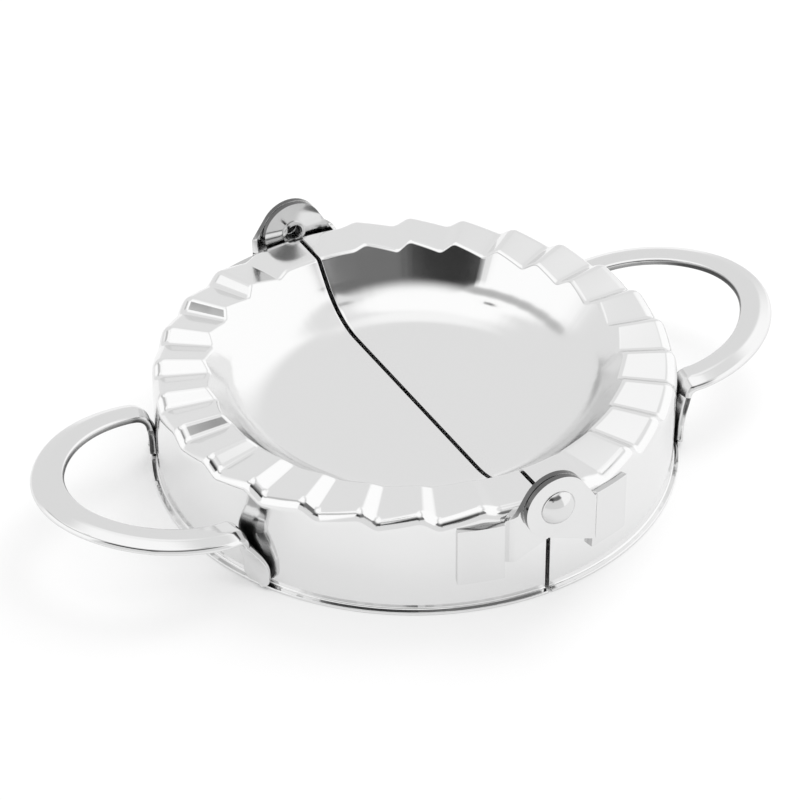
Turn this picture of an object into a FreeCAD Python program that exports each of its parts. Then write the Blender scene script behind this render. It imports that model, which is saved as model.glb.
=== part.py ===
"""Folding empanada press of stamped stainless steel, opened flat.

Millimetres, +Z up. The origin is the centre of the round base on the table. The hinge line runs
along Y, and the handles point along +X and -X. Everything is modelled for the right half (+X), and
the left half is the same set of pieces turned by half a turn about Z.
"""
import FreeCAD, Part
import math
import os

V = FreeCAD.Vector

# Shell: one stamped sheet for each half
rim_radius = 48.3            # outside of the skirt
sheet = 0.6                  # thickness of the steel
lip_reach = 1.15             # how far the turned-out edge stands proud of the skirt
lip_bend = 0.35              # outer bend between skirt and lip
rim_height = 20.0            # middle of the teeth above the table
shoulder = 1.75              # rounding between rim and skirt
split_gap = 0.8              # slit between the two halves
floor_height = 10.5          # top face of the dish floor
rim_width = 10.1             # from the skirt in to the dish wall, at the middle height of the teeth
wall_slope = 50.0            # degrees from level
floor_blend = 15.0           # rounding between floor and wall

# Teeth of the crimping rim
teeth_per_half = 13          # steep flanks on each half
tooth_depth = 1.7            # from valley to crest at the middle of the rim
flank_angle = 3.5            # degrees that a steep flank takes

# Hinge
closed_gap = 0.5             # between the two rims when the press is shut
plate = 1.0                  # thickness of the hinge plates
ear_radius = 6.2
ear_play = 0.2               # between the two ears
tail_play = 0.15             # between a rivet's tail and the skirt
strap_length = 8.4           # welded part of a plate, along the skirt
strap_start = 8.7            # from the hinge line to the welded part, along the skirt
strap_top = 17.9
strap_bottom = 6.3
neck_bottom = 9.8            # lower edge of the plate where it leaves the skirt
joggle_run = 1.4             # length over which a plate steps out from the skirt; it starts past
                             # the tangent of the other ear, so that the two clear when shut
weld_gap = 0.02              # film between a welded strip and the skirt

# Rivets
shank_radius = 1.9
head_radius = 3.3
head_height = 2.0
tail_radius = 2.5
tail_length = 0.45
tail_bore = 1.6
bore_depth = 2.4
fixed_fit = 0.02             # radial, in the ear that holds the rivet
running_fit = 0.06           # radial and under the head, in the ear that turns

# Handle: a flat strip bent to a loop
strip_width = 6.0
strip_thickness = 1.3
handle_half_width = 20.6     # from the X axis to the middle of the strip, where the loop is widest
side_flatness = 2.9          # how much larger the side arcs are than the half width
tip_tightness = 3.1          # how much smaller the tip arc is than the half width
leg_turn = 3.0               # degrees between the strip and the X axis where a leg turns down
foot_angle = 27.0            # degrees round the skirt from the X axis to the middle of a foot
root_height = 12.7           # top face of the strip at the skirt
tip_height = 15.6            # top face of the strip at the tip
leg_bend = 3.3               # rounding where a leg turns down
leg_straight = 0.3           # level run between that rounding and the loop
foot_height = 0.65           # underside of the legs, just above the lip
foot_rounding = 1.9
weld_seat = 0.1              # how deep the skirt is seated in a leg, where the two are welded

overrun = 5.0                # how far cutting bodies run past what they cut

# Worked out from the sizes above
dish_radius = rim_radius - rim_width
pivot_height = rim_height + closed_gap/2
rim_middle = (rim_radius + dish_radius)/2
tooth_pitch = 180.0/(teeth_per_half + 1)
lip_radius = rim_radius + lip_reach
ear_inner_face = rim_radius + tail_play + tail_length
outer_ear_inner_face = ear_inner_face + plate + ear_play
side_radius = handle_half_width + side_flatness
tip_radius = handle_half_width - tip_tightness
half_turn = 180.0
quarter_turn = half_turn/2


def polar(radius, degrees, z=0.0):
    angle = math.radians(degrees)
    return V(radius*math.cos(angle), radius*math.sin(angle), z)


def arc(centre, radius, start, end):
    """Arc in the plane z = centre.z, angles in degrees."""
    points = [centre + polar(radius, a) for a in (start, (start + end)/2, end)]
    return Part.Arc(*points).toShape()


def line(a, b):
    return Part.LineSegment(a, b).toShape()


def turned(shape):
    """The same piece on the other half."""
    copy = shape.copy()
    copy.rotate(V(0, 0, 0), V(0, 0, 1), half_turn)
    return copy


def dish_profile(inset):
    """Edges of the dish from its centre up the wall; inset moves them into the sheet's underside."""
    slope = math.radians(wall_slope)
    floor = floor_height - inset
    reach = dish_radius + inset/math.sin(slope)
    blend = floor_blend + inset
    corner = reach - (rim_height - floor)/math.tan(slope)
    tangent = blend*math.tan(slope/2)
    top = rim_height + overrun
    start = V(corner - tangent, 0, floor)
    middle = V(start.x + blend*math.sin(slope/2), 0, floor + blend*(1 - math.cos(slope/2)))
    end = V(corner + tangent*math.cos(slope), 0, floor + tangent*math.sin(slope))
    wall_top = V(reach + overrun/math.tan(slope), 0, top)
    edges = [line(V(0, 0, floor), start), Part.Arc(start, middle, end).toShape(), line(end, wall_top)]
    return edges, wall_top


def lip_corner(radius):
    """Quarter arc between skirt and lip, about the centre that both sides of the sheet share."""
    centre = V(rim_radius + lip_bend, 0, sheet + lip_bend)
    diagonal = radius/math.sqrt(2)
    ends = V(centre.x - radius, 0, centre.z), V(centre.x, 0, centre.z - radius)
    return ends, V(centre.x - diagonal, 0, centre.z - diagonal)


def revolved(edges):
    face = Part.Face(Part.Wire(Part.__sortEdges__(edges)))
    return face.revolve(V(0, 0, 0), V(0, 0, 1), 2*half_turn)


def blank(inset):
    """Solid below the sheet's top side (inset 0) or underside (inset = sheet), teeth left out."""
    edges, wall_top = dish_profile(inset)
    skirt_radius = rim_radius - inset
    skirt_top = V(skirt_radius, 0, wall_top.z)
    (upper, lower), middle = lip_corner(lip_bend + inset)
    edges += [line(wall_top, skirt_top), line(skirt_top, upper), Part.Arc(upper, middle, lower).toShape()]
    if inset:
        path = [lower, V(lower.x, 0, -overrun), V(0, 0, -overrun), edges[0].Vertexes[0].Point]
    else:
        path = [lower, V(lip_radius, 0, sheet), V(lip_radius, 0, 0), V(0, 0, 0), V(0, 0, floor_height)]
    edges += [line(a, b) for a, b in zip(path, path[1:])]
    return revolved(edges)


def tooth_corners():
    """Angle and level (-1 valley, 0 middle, 1 crest) of each corner on the right half's rim."""
    corners = []
    for k in range(1, teeth_per_half + 1):
        centre = k*tooth_pitch - quarter_turn
        before = 1 if k > 1 else 0
        after = -1 if k < teeth_per_half else 0
        corners += [(centre - flank_angle/2, before), (centre + flank_angle/2, after)]
    return corners


def toothed_block(drop):
    """Block whose top is a fan of planes through one point on the axis, as on a face coupling."""
    radius = rim_radius + overrun
    rise = tooth_depth/2*radius/rim_middle
    apex = V(0, 0, rim_height - drop)
    corners = tooth_corners()
    corners.append((quarter_turn, 0))
    corners += [(angle + half_turn, level) for angle, level in corners]
    top = [polar(radius, angle, apex.z + level*rise) for angle, level in corners]
    bottom = [V(p.x, p.y, -2*overrun) for p in top]
    faces = [Part.Face(Part.makePolygon(bottom + bottom[:1]))]
    count = len(top)
    for i in range(count):
        j = (i + 1) % count
        faces.append(Part.Face(Part.makePolygon([apex, top[i], top[j], apex])))
        faces.append(Part.Face(Part.makePolygon([top[i], top[j], bottom[j], bottom[i], top[i]])))
    return Part.Solid(Part.Shell(faces))


def shoulder_edges(shape, radius):
    """Edges between the teeth and the skirt."""
    lowest = rim_height - tooth_depth - sheet
    found = []
    for edge in shape.Edges:
        points = [v.Point for v in edge.Vertexes]
        on_skirt = all(abs(math.hypot(p.x, p.y) - radius) < sheet/100 for p in points)
        if on_skirt and all(p.z > lowest for p in points):
            found.append(edge)
    return found


def body_below(inset, start):
    """All that lies below one side of the right half's sheet, from x = start on."""
    side = 2*(lip_radius + overrun)
    half = Part.makeBox(side, side, side, V(start, -side/2, -side/2))
    body = blank(inset).common(toothed_block(inset)).common(half)
    edges = shoulder_edges(body, rim_radius - inset)
    return body.makeFillet(shoulder - inset, edges)


def shell():
    return body_below(0, split_gap/2).cut(body_below(sheet, -split_gap)).removeSplitter()


def plan_route(layer):
    """Inner side of a hinge plate seen from above, from the ear to the end of the welded strap.

    x runs along the press from the hinge line, and y is the distance from the middle outwards.
    """
    radius = rim_radius + weld_gap
    first = quarter_turn - math.degrees(strap_start/radius)
    last = quarter_turn - math.degrees((strap_start + strap_length)/radius)
    weld_start = polar(radius, first)
    step = V(weld_start.x - joggle_run, layer, 0)
    ear_end = V(-ear_radius - overrun, layer, 0)
    wire = Part.Wire([line(ear_end, step), line(step, weld_start), arc(V(0, 0, 0), radius, first, last)])
    return wire, weld_start.x, polar(radius, last).x


def ear_tangent(x, z, side):
    """Point where the line from (x, z) touches the ear's outline; side is 1 above and -1 below."""
    toward = math.degrees(math.atan2(z - pivot_height, x))
    spread = math.degrees(math.acos(ear_radius/math.hypot(x, z - pivot_height)))
    angle = math.radians(toward + side*spread)
    return V(ear_radius*math.cos(angle), 0, pivot_height + ear_radius*math.sin(angle))


def hinge_plate(layer, fit):
    """Hinge plate whose ear has its inner face at the distance layer from the middle."""
    route, weld_x, end_x = plan_route(layer)
    ribbon = route.makeOffset2D(plate, 0, True, True)
    if ribbon.BoundBox.YMax < layer + plate/2:
        ribbon = route.makeOffset2D(-plate, 0, True, True)
    band = ribbon.extrude(V(0, 0, pivot_height + ear_radius + overrun))
    far_x = end_x + overrun
    outline = [ear_tangent(weld_x, neck_bottom, -1), V(weld_x, 0, neck_bottom), V(weld_x, 0, strap_bottom),
               V(far_x, 0, strap_bottom), V(far_x, 0, strap_top), V(weld_x, 0, strap_top),
               ear_tangent(weld_x, strap_top, 1), V(0, 0, pivot_height)]
    deep = V(0, lip_radius + 2*overrun, 0)
    tab = Part.Face(Part.makePolygon(outline + outline[:1])).extrude(deep)
    ear = Part.makeCylinder(ear_radius, deep.y, outline[-1], V(0, 1, 0))
    hole = Part.makeCylinder(shank_radius + fit, deep.y, outline[-1], V(0, 1, 0))
    return band.common(tab.fuse(ear)).cut(hole).removeSplitter()


def rivet():
    """Rivet of the back hinge, set in the inner ear; its head lies over the outer ear."""
    tail_end = ear_inner_face - tail_length
    head_face = outer_ear_inner_face + plate + running_fit
    head_top = V(0, head_face + head_height, 0)
    dome_radius = (head_radius**2 + head_height**2)/(2*head_height)
    half = math.asin(head_radius/dome_radius)/2
    dome_middle = V(dome_radius*math.sin(half), head_top.y - dome_radius*(1 - math.cos(half)), 0)
    head_rim = V(head_radius, head_face, 0)
    path = [head_rim, V(shank_radius, head_face, 0), V(shank_radius, ear_inner_face, 0),
            V(tail_radius, ear_inner_face, 0), V(tail_radius, tail_end, 0), V(tail_bore, tail_end, 0),
            V(tail_bore, tail_end + bore_depth, 0), V(0, tail_end + bore_depth, 0), head_top]
    edges = [line(a, b) for a, b in zip(path, path[1:])]
    edges.append(Part.Arc(head_top, dome_middle, head_rim).toShape())
    solid = Part.Face(Part.Wire(edges)).revolve(V(0, 0, 0), V(0, 1, 0), 2*half_turn)
    solid.translate(V(0, 0, pivot_height))
    return solid


def to_front(shape):
    """Carry a piece of the back hinge over to the front."""
    return shape.mirror(V(0, 0, 0), V(0, 1, 0))


def handle():
    """Strip bent to a loop whose legs turn down to the skirt; seen from above it is three arcs."""
    leg_angle = quarter_turn + leg_turn
    out = polar(1, leg_turn)
    across = polar(1, leg_angle)
    run = leg_bend + leg_straight

    # The leg's edge nearest the X axis meets the skirt, seated by the weld
    side_centre_y = handle_half_width - side_radius
    start_y = side_centre_y + side_radius*across.y
    seat_y = start_y - across.y*strip_width/2 - out.y*run
    seat = V(math.sqrt((rim_radius - weld_seat)**2 - seat_y**2), seat_y, 0)
    leg = seat + across*(strip_width/2)
    start = leg + out*run

    # The side arcs start where the legs end, and the tip arc joins them
    lean = math.degrees(math.acos(side_flatness/(side_flatness + tip_tightness)))
    side_centre = start - across*side_radius
    tip_centre_x = side_centre.x + (side_radius - tip_radius)*math.sin(math.radians(lean))
    handle_reach = tip_centre_x + tip_radius + strip_width/2

    # The loop lies in a plane that rises from the skirt to the tip
    rise = (tip_height - root_height)/(handle_reach - rim_radius)
    drop = strip_thickness*math.sqrt(1 + rise**2)

    def top_at(x):
        return root_height + rise*(x - rim_radius)

    sides = []
    for offset in (strip_width/2, -strip_width/2):
        arcs = []
        for side in (1, -1):
            centre = V(side_centre.x, side*side_centre.y, 0)
            angles = side*leg_angle, side*(quarter_turn - lean)
            arcs.append(arc(centre, side_radius + offset, *angles))
        tip_angles = quarter_turn - lean, lean - quarter_turn
        arcs.append(arc(V(tip_centre_x, 0, 0), tip_radius + offset, *tip_angles))
        sides.append(arcs)
    ends = []
    for side in (1, -1):
        points = [start + across*(q*strip_width/2) for q in (1, -1)]
        ends.append(line(*[V(p.x, side*p.y, 0) for p in points]))
    outline = Part.Wire(Part.__sortEdges__(sides[0] + sides[1] + ends))
    prism = Part.Face(outline).extrude(V(0, 0, tip_height + overrun))
    reach = handle_reach + overrun
    slab_corners = [V(0, -reach, top_at(0)), V(reach, -reach, top_at(reach)),
                    V(reach, -reach, top_at(reach) - drop), V(0, -reach, top_at(0) - drop)]
    slab = Part.Face(Part.makePolygon(slab_corners + slab_corners[:1])).extrude(V(0, 2*reach, 0))
    solid = prism.common(slab)

    # The bend, drawn in the upright plane along the strip and swept across its width
    slope = math.atan(rise*out.x)
    thickness = drop*math.cos(slope)
    centre_z = top_at(leg.x) + math.tan(slope)*leg_bend - leg_bend/math.cos(slope)

    def at(s, z):
        return V(leg.x + out.x*s, leg.y + out.y*s, z)

    def bend(radius):
        """Leg end, middle and strip end of a bend about the common centre."""
        turn = [math.pi, (math.pi + math.pi/2 + slope)/2, math.pi/2 + slope]
        return [at(leg_bend + radius*math.cos(a), centre_z + radius*math.sin(a)) for a in turn]

    inner = bend(leg_bend)
    outer = bend(leg_bend - thickness)
    seam = [at(run, top_at(start.x)), at(run, top_at(start.x) - drop)]
    edges = [line(outer[0], inner[0]), Part.Arc(*inner).toShape(), line(inner[2], seam[0]), line(*seam),
             line(seam[1], outer[2]), Part.Arc(*outer).toShape()]
    sweep = V(across.x, across.y, rise*across.x)*strip_width
    profile = Part.Face(Part.Wire(Part.__sortEdges__(edges)))
    profile.translate(sweep*(-1/2))
    elbow = profile.extrude(sweep)

    # A leg twists on its way down until its foot lies flat against the skirt
    half_sweep = sweep*(1/2)
    half_foot = polar(strip_width/2, quarter_turn + foot_angle)
    near = polar(rim_radius - weld_seat, foot_angle, foot_height)
    far = polar(rim_radius - weld_seat + thickness, foot_angle, foot_height)
    top = [inner[0] - half_sweep, outer[0] - half_sweep, outer[0] + half_sweep, inner[0] + half_sweep]
    foot = [near - half_foot, far - half_foot, far + half_foot, near + half_foot]
    limb = Part.makeLoft([Part.makePolygon(points + points[:1]) for points in (top, foot)], True, True)
    pieces = [elbow, limb]
    pieces += [piece.mirror(V(0, 0, 0), V(0, 1, 0)) for piece in pieces]
    solid = solid.fuse(pieces).removeSplitter()
    corners = [e for e in solid.Edges if e.BoundBox.ZMax < foot_height + strip_thickness
               and abs(e.Length - thickness) < strip_thickness/10]
    solid = solid.makeFillet(foot_rounding, corners)
    return solid.cut(body_below(0, split_gap/2))


os.makedirs("parts", exist_ok=True)
outer_plate = hinge_plate(outer_ear_inner_face, running_fit)
inner_plate = hinge_plate(ear_inner_face, fixed_fit)
right_half = {
    "right_shell": shell(),
    "right_handle": handle(),
    "front_outer_hinge_plate": to_front(outer_plate),
    "back_inner_hinge_plate": inner_plate,
    "back_rivet": rivet(),
}
left_names = {
    "right_shell": "left_shell",
    "right_handle": "left_handle",
    "front_outer_hinge_plate": "back_outer_hinge_plate",
    "back_inner_hinge_plate": "front_inner_hinge_plate",
    "back_rivet": "front_rivet",
}
for name, shape in right_half.items():
    for node, piece in ((name, shape), (left_names[name], turned(shape))):
        piece.exportStep(os.path.join("parts", node + ".step"))
        box = piece.BoundBox
        print(node, len(piece.Solids), piece.isValid(), round(piece.Volume, 1),
              [round(v, 2) for v in (box.XMin, box.XMax, box.YMin, box.YMax, box.ZMin, box.ZMax)])
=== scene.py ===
"""Folding dough press of polished stainless steel, opened flat on a pale table.

Metres, +Z up, hinge line along Y. Every piece is drawn for the right half (+X) and copied to the
left half by half a turn about Z.
"""
import math
import bpy
import bmesh
from bpy.props import FloatProperty, FloatVectorProperty, IntProperty, PointerProperty
from bpy.types import Operator, Panel, PropertyGroup
from mathutils import Matrix, Vector


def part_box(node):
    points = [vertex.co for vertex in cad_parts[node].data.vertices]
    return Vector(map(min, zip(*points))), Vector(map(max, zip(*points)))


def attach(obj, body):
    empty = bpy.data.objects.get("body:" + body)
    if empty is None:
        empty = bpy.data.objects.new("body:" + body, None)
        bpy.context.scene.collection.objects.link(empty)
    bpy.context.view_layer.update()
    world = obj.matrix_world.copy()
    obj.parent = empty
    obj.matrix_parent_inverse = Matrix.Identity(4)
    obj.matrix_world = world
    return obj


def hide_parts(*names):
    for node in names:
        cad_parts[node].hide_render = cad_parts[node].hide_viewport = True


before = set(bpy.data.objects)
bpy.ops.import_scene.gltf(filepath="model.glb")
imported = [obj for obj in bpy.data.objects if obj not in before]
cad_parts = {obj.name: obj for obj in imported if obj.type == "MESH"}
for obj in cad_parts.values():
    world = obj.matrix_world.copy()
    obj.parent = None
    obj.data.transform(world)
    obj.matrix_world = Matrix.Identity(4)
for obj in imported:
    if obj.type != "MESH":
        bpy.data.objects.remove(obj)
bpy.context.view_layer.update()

bl_info = {
    "name": "Folding Dough Press",
    "version": (1, 0, 0),
    "blender": (4, 5, 0),
    "location": "View3D > Sidebar > Dough Press",
    "description": "Models the steel pieces of a folding dough press round its frame",
    "category": "Object",
}

MM = 0.001
X_AXIS = Vector((1, 0, 0))
Y_AXIS = Vector((0, 1, 0))
Z_AXIS = Vector((0, 0, 1))
HALF_TURN = math.pi
QUARTER_TURN = math.pi/2
SHELL_LOW, SHELL_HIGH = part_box("right_shell")
HANDLE_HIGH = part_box("right_handle")[1]
RIVET_LOW, RIVET_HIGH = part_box("back_rivet")
PIVOT = Vector((0, 0, (RIVET_LOW.z + RIVET_HIGH.z)/2))

# How near two points are one point, also where they were drawn one by one, how near they are on one
# line across a plate, and the digits of a metre that tell such lines apart
MERGE = MM/1000
MERGE_DRAWN = MM/100
SAME_LINE = MM/5000
LINE_DIGITS = 7

# Segments of the cut edges' rounding, the angle from which an edge is sharp, and how much more the large
# faces count in the shading
EDGE_SEGMENTS = 3
SHARPEST = math.radians(35)
FACE_WEIGHT = 80


def linear(hex_colour):
    """Scene colour of an sRGB hex value."""
    parts = [int(hex_colour[i:i + 2], 16)/255 for i in (1, 3, 5)]
    return tuple(p/12.92 if p <= 0.04045 else ((p + 0.055)/1.055)**2.4 for p in parts)


def length(name, description, millimetres):
    """A size in millimetres."""
    return FloatProperty(name=name, description=description, default=millimetres*MM, min=0, unit="LENGTH",
                         precision=5)


def angle(name, description, degrees):
    """An angle in degrees."""
    return FloatProperty(name=name, description=description, default=math.radians(degrees), unit="ROTATION")


def share(name, description, value):
    """A share or a grade from 0 to 1."""
    return FloatProperty(name=name, description=description, default=value, min=0, max=1, subtype="FACTOR")


def colour(name, description, hex_colour):
    """A colour given as an sRGB hex value."""
    return FloatVectorProperty(name=name, description=description, default=linear(hex_colour), size=3,
                               min=0, max=1, subtype="COLOR")


class ShellSizes(PropertyGroup):
    """Sizes of the two stamped half shells"""
    sheet: length("Sheet", "Thickness of the stamped sheet", 0.6)
    lip_reach: length("Lip reach", "How far the turned-out edge stands proud of the skirt", 1.15)
    lip_bend: length("Lip bend", "Rounding between skirt and lip", 0.35)
    rim_height: length("Rim height", "Middle of the teeth above the table", 20.0)
    rim_width: length("Rim width", "From the skirt in to the dish wall", 10.1)
    shoulder: length("Shoulder", "Rounding between rim and skirt", 2.4)
    rim_edge: length("Rim edge", "Rounding between rim and dish wall", 1.4)
    floor_height: length("Floor height", "Dish floor above the table", 10.5)
    floor_blend: length("Floor blend", "Rounding between floor and wall", 15)
    wall_slope: angle("Wall slope", "Slope of the dish wall from level", 50)
    teeth: IntProperty(name="Teeth", description="Steep flanks on each half", default=13, min=3)
    tooth_depth: length("Tooth depth", "From valley to crest at the middle of the rim", 1.7)
    flank: angle("Flank", "Angle round the rim that a steep flank takes", 3.5)
    tooth_rounding: angle("Tooth rounding", "Angle round the rim over which a tooth's corner bends", 1.9)
    cut_edge: length("Cut edge", "Rounding of the cut edges of the sheet", 0.17)


class HandleSizes(PropertyGroup):
    """Sizes of the two strip loop handles"""
    width: length("Width", "Width of the strip", 6.0)
    thickness: length("Thickness", "Thickness of the strip", 1.3)
    crown_radius: length("Crown radius", "Lengthwise bend between the flat and the sloping outer part", 3.0)
    crown_slope: length("Crown slope", "Width of the sloping outer part", 1.3)
    crown_tilt: angle("Crown tilt", "Slope of that part from level", 22)
    outer_edge: length("Outer edge", "Rounding of the strip's outer upper edge", 1.1)
    outer_drop: length("Outer drop", "How much lower the underside is along the outer edge", 0.6)
    inner_edge: length("Inner edge", "Rounding of the strip's inner upper edge", 0.8)
    lower_edge: length("Lower edge", "Rounding of the strip's lower edges", 0.25)
    tip_radius: length("Tip radius", "Plan radius of the tip arc, at the strip's middle", 17.5)
    side_radius: length("Side radius", "Plan radius of the side arcs, at the strip's middle", 23.5)
    side_reach: length("Side reach", "From the X axis to the strip's middle where the loop is widest", 20.6)
    leg_turn: angle("Leg turn", "Turn of the strip's plan where a leg bends down", 11)
    end_turn: angle("End turn", "Turn of the short arc before a leg", 12)
    end_radius: length("End radius", "Plan radius of the short arc before a leg", 9)
    foot_angle: angle("Foot angle", "Round the skirt from the X axis to the middle of a foot", 27)
    weld_seat: length("Weld seat", "How deep the skirt is seated in a leg", 0.1)
    twist_share: share("Twist share", "Share of the leg's height that takes its twist", 0.6)
    root_height: length("Root height", "Top face of the strip at the skirt", 12.7)
    leg_bend: length("Leg bend", "Outer rounding where a leg turns down", 3.3)
    foot_height: length("Foot height", "Underside of the legs above the table", 0.65)
    foot_rounding: length("Foot rounding", "Corner rounding of the feet", 1.9)
    edge: length("Edge", "Rounding of the cut ends of the strip", 0.2)


class HingeSizes(PropertyGroup):
    """Sizes of the hinge plates and rivets"""
    plate: length("Plate", "Thickness of the hinge plates", 1.0)
    ear_radius: length("Ear radius", "Rounded ear round the rivet", 6.2)
    strap_top: length("Strap top", "Upper edge of the welded strap above the table", 17.9)
    strap_bottom: length("Strap bottom", "Lower edge of the welded strap above the table", 6.3)
    neck_bottom: length("Neck bottom", "Lower edge of the plate where it leaves the skirt", 9.8)
    joggle: length("Joggle", "Run over which a plate steps out from the skirt", 1.4)
    strap_start: length("Strap start", "From the hinge line to the welded strap, along the skirt", 8.7)
    strap_length: length("Strap length", "Welded strap, along the skirt", 8.4)
    weld_gap: length("Weld gap", "Film between strap and skirt", 0.02)
    edge: length("Edge", "Rounding of the plates' edges", 0.22)
    shank_radius: length("Shank radius", "Radius of the rivet's shank", 1.9)
    head_radius: length("Head radius", "Radius of the rivet's head", 3.3)
    head_height: length("Head height", "Height of the rivet's dome", 2.0)
    head_edge: length("Head edge", "Height of the upright edge of the head", 0.2)
    tail_radius: length("Tail radius", "Radius of the flared tail", 2.5)
    tail_length: length("Tail length", "Length of the flared tail", 0.45)
    tail_bore: length("Tail bore", "Radius of the hollow in the tail", 1.6)
    bore_depth: length("Bore depth", "Depth of the hollow in the tail", 2.4)
    play: length("Play", "Radial play of the shank in its ears", 0.04)
    ear_film: length("Ear film", "Gap between the head and the outer ear", 0.06)
    ear_tilt: angle("Ear tilt", "Slope of the slightly domed ear, drawn by its material", 7)


class FinishSizes(PropertyGroup):
    """Colours and finish of the steel and the table"""
    sheet_colour: colour("Sheet", "Mirror polished stainless sheet", "#E9E9E9")
    strip_colour: colour("Strip", "Polished stainless strip", "#E4E4E4")
    rivet_colour: colour("Rivet", "Formed stainless rivet", "#DEDEDE")
    # Painted shade on the cut edges of the hinge plates
    painted_shade_edge_colour: colour("Cut edge", "Blanked edges of the hinge plates", "#6E6E6E")
    # Painted shade on the strip's inner side and the backs of its legs
    painted_shade_strip_colour: colour("Dull", "Unpolished inner side of the handle strip", "#565656")
    # Painted shade in the hollow bore of the rivets
    painted_shade_bore_colour: colour("Bore", "Unpolished bore of the rivets", "#2A2A2A")
    table_colour: colour("Table", "Plain pale table", "#F4F4F4")
    polish_grain: length("Polish grain", "Width of the marks that the polish leaves", 0.25)
    sheet_wave: length("Sheet wave", "Width of the soft waves in the stamped sheet", 9.0)
    gloss_patch: length("Gloss patch", "Width of the patches in which the gloss varies", 18.0)
    formed_wave: length("Formed wave", "Height of the waves in the sheet and the strip", 0.03)
    blank_wave: length("Blank wave", "Height of the waves in the plates and rivets", 0.02)
    sheet_mark: length("Sheet mark", "Depth of the polishing marks in the sheet", 0.0006)
    strip_mark: length("Strip mark", "Depth of the polishing marks in the strip and the plates", 0.0008)
    rivet_mark: length("Rivet mark", "Depth of the forming marks in the rivets", 0.0012)
    sheet_roughness: share("Sheet roughness", "Roughness of the mirror polished sheet", 0.11)
    strip_roughness: share("Strip roughness", "Roughness of the polished strip and plates", 0.1)
    rivet_roughness: share("Rivet roughness", "Roughness of the rivets", 0.12)
    dull_roughness: share("Dull roughness", "Roughness of the unpolished side of the strip", 0.35)


def sizes(context, *names):
    """The groups of sizes that have these names."""
    return [getattr(context.scene, "press_" + name) for name in names]


def open_mesh():
    """The mesh that is open in edit mode."""
    return bmesh.from_edit_mesh(bpy.context.object.data)


def select_all():
    bpy.ops.mesh.select_all(action="SELECT")


def choose(test):
    """Selects those of the open mesh's points that pass a test."""
    bpy.ops.mesh.select_mode(type="VERT")
    bpy.ops.mesh.select_all(action="DESELECT")
    mesh = open_mesh()
    for point in mesh.verts:
        if test(point):
            point.select_set(True)
    mesh.select_flush_mode()
    bmesh.update_edit_mesh(bpy.context.object.data)


def start_point(name, place):
    """A new mesh in edit mode that is a single selected point."""
    bpy.ops.object.select_all(action="DESELECT")
    bpy.ops.mesh.primitive_plane_add(size=MM, location=place)
    bpy.ops.object.transform_apply(location=True)
    bpy.context.object.name = name
    bpy.ops.object.mode_set(mode="EDIT")
    select_all()
    bpy.ops.mesh.merge(type="CENTER")


def draw(step):
    """Draws what is selected out along a straight step."""
    bpy.ops.mesh.extrude_region_move(TRANSFORM_OT_translate={"value": step})


def sweep(turn, centre, axis, steps):
    """Draws what is selected round an axis; a positive turn is counterclockwise seen against the axis."""
    bpy.ops.mesh.spin(steps=steps, angle=-turn, center=centre, axis=axis)


def trace(place, heading, moves):
    """Draws the selected point on in the plane at right angles to Y, and returns where it ends.

    Heading is the angle from +X towards +Z. A move is a length, or a radius, a turn to the left and its
    steps.
    """
    place = Vector(place)
    for move_values in moves:
        if len(move_values) == 1:
            step = Vector((math.cos(heading), 0, math.sin(heading)))*move_values[0]
            draw(step)
            place += step
            continue
        radius, turn, steps = move_values
        to_centre = Vector((-math.sin(heading), 0, math.cos(heading)))*math.copysign(radius, turn)
        sweep(turn, place + to_centre, -Y_AXIS, steps)
        place += to_centre - Matrix.Rotation(turn, 3, -Y_AXIS) @ to_centre
        heading += turn
    return place


def move(step):
    """Moves what is selected."""
    bpy.ops.transform.translate(value=step)


def rotate(turn, axis, centre):
    """Turns what is selected; a positive turn is counterclockwise seen against the axis X, Y or Z."""
    bpy.ops.transform.rotate(value=-turn, orient_axis=axis, center_override=centre)


def close_surface():
    """Merges doubled points and turns all faces the same way."""
    bpy.ops.mesh.select_mode(type="VERT")
    select_all()
    bpy.ops.mesh.remove_doubles(threshold=MERGE)
    bpy.ops.mesh.normals_make_consistent(inside=False)


def face_towards(direction, test):
    """Flips an open sheet whose faces that pass the test look away from the direction."""
    looks = sum(face.normal.dot(direction)*face.calc_area() for face in open_mesh().faces if test(face))
    if looks < 0:
        select_all()
        bpy.ops.mesh.flip_normals()


def apply_modifier(kind, **settings):
    """Adds a modifier to the piece, sets it and applies it."""
    piece = bpy.context.object
    modifier = piece.modifiers.new(kind.title(), kind)
    for name, value in settings.items():
        setattr(modifier, name, value)
    bpy.ops.object.modifier_apply(modifier=modifier.name)


def smooth(edge_width):
    """Rounds the sharp edges and shades the piece smooth, with flat faces kept flat."""
    bpy.ops.object.mode_set(mode="OBJECT")
    apply_modifier("BEVEL", width=edge_width, segments=EDGE_SEGMENTS, limit_method="ANGLE",
                   angle_limit=SHARPEST, miter_outer="MITER_ARC", use_clamp_overlap=True)
    bpy.ops.object.shade_smooth_by_angle(angle=SHARPEST)
    apply_modifier("WEIGHTED_NORMAL", keep_sharp=True, weight=FACE_WEIGHT)


def turned_copy(piece, name):
    """The same piece on the other half of the press, with its own mesh."""
    bpy.ops.object.select_all(action="DESELECT")
    piece.select_set(True)
    bpy.context.view_layer.objects.active = piece
    bpy.ops.object.duplicate(linked=False)
    bpy.context.object.name = name
    rotate(HALF_TURN, "Z", (0, 0, 0))
    bpy.ops.object.transform_apply(location=True, rotation=True, scale=True)
    return bpy.context.object


def fit(piece, node, copy_name, copy_node, material):
    """Puts a finished piece in its node's place on the right half, and its turned copy on the left."""
    copy = turned_copy(piece, copy_name)
    for half, its_node, body in ((piece, node, "right_half"), (copy, copy_node, "left_half")):
        half.data.materials.append(material)
        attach(half, body)
        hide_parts(its_node)


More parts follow.
